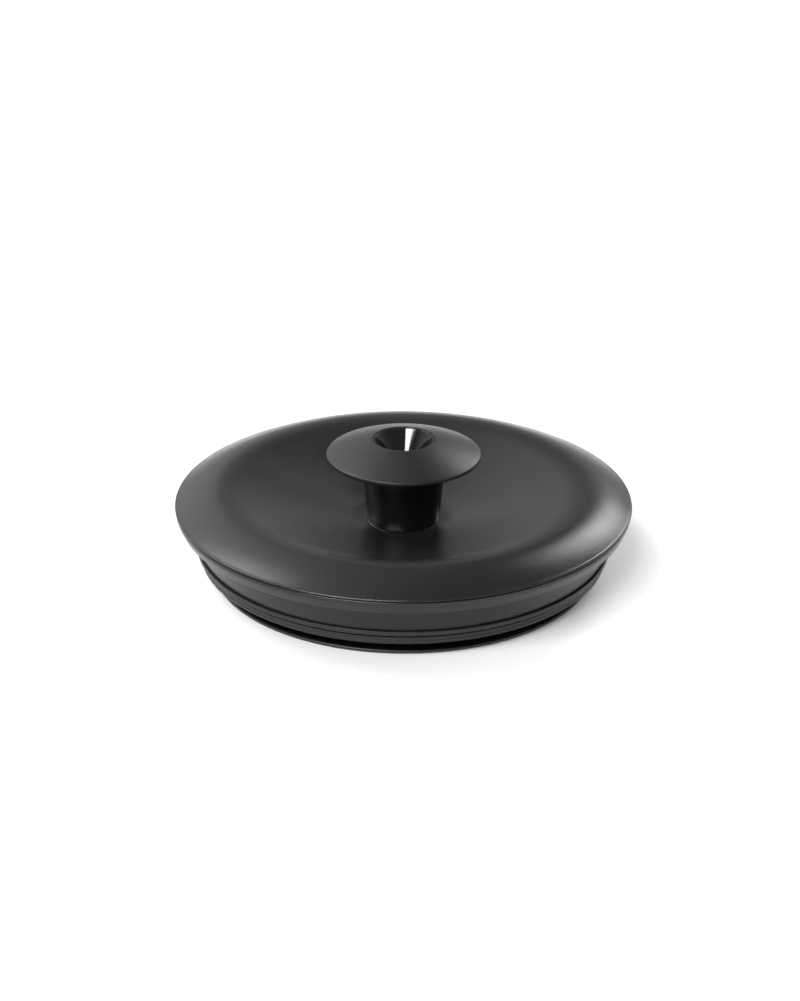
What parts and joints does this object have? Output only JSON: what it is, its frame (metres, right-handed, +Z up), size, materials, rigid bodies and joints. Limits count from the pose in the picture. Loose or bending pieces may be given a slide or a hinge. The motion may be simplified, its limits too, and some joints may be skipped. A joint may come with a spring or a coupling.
{
  "type": "french press lid",
  "caption": "Closed round french press lid: a dished cover with a mushroom knob on a plug with a lipped seal, standing on a threaded base ring.",
  "frame": {"origin": "centre of the base ring's underside, on the lid's axis, where the lid stands", "axes": "+Z up along the lid's axis, towards the knob; +X through one of the body screws and one of the stem's pegs"},
  "size_m": [0.115, 0.115, 0.0342],
  "materials": {
    "cover_black": "satin black plastic with a fine spark-eroded grain",
    "body_black": "satin black plastic, smoother than the cover",
    "ring_black": "satin black plastic",
    "plate_black": "satin black plastic",
    "cap_black": "satin black plastic",
    "stem_black": "smooth deep black plastic",
    "funnel_gloss": "high gloss black",
    "silicone_black": "black silicone, soft sheen",
    "silicone_grey": "dark grey silicone",
    "brass": "machined brass",
    "steel": "stainless steel"
  },
  "bodies": {
    "lid": {"lid_cover": "cover_black", "lid_body": "body_black", "seal_gasket": "silicone_black", "rim_seal": "silicone_grey", "stem_washer": "silicone_grey", "bolt_seal": "silicone_grey", "bolt_washer": "steel", "body_screw_1": "steel", "body_screw_2": "steel", "body_screw_3": "steel", "body_screw_4": "steel", "body_screw_5": "steel", "body_screw_6": "steel"},
    "knob": {"knob_cap": "cap_black", "knob_stem": "stem_black", "knob_funnel": "funnel_gloss", "knob_insert": "brass"},
    "bolt": {"knob_bolt": "steel"},
    "plate": {"bottom_plate": "plate_black", "plate_seal": "silicone_grey"},
    "ring": {"base_ring": "ring_black"}
  },
  "joints": [
    {"name": "lid_turn", "type": "hinge", "parent": "ring", "child": "plate", "pos_m": [0, 0, 0.001], "axis": [0, 0, 1], "range_deg": [0, 360]},
    {"name": "lid_rise", "type": "slide", "parent": "plate", "child": "lid", "axis": [0, 0, 1], "range_m": [0, 0.004]},
    {"name": "knob_lift", "type": "slide", "parent": "lid", "child": "knob", "axis": [0, 0, 1], "range_m": [0, 0.008]},
    {"name": "bolt_turn", "type": "hinge", "parent": "lid", "child": "bolt", "pos_m": [0, 0, 0.006], "axis": [0, 0, -1], "range_deg": [0, 3600]}
  ],
  "couplings": [
    {"joint": "lid_rise", "follows": "lid_turn", "m_per_rad": 0.000636},
    {"joint": "bolt_turn", "follows": "knob_lift", "rad_per_m": 7853}
  ]
}
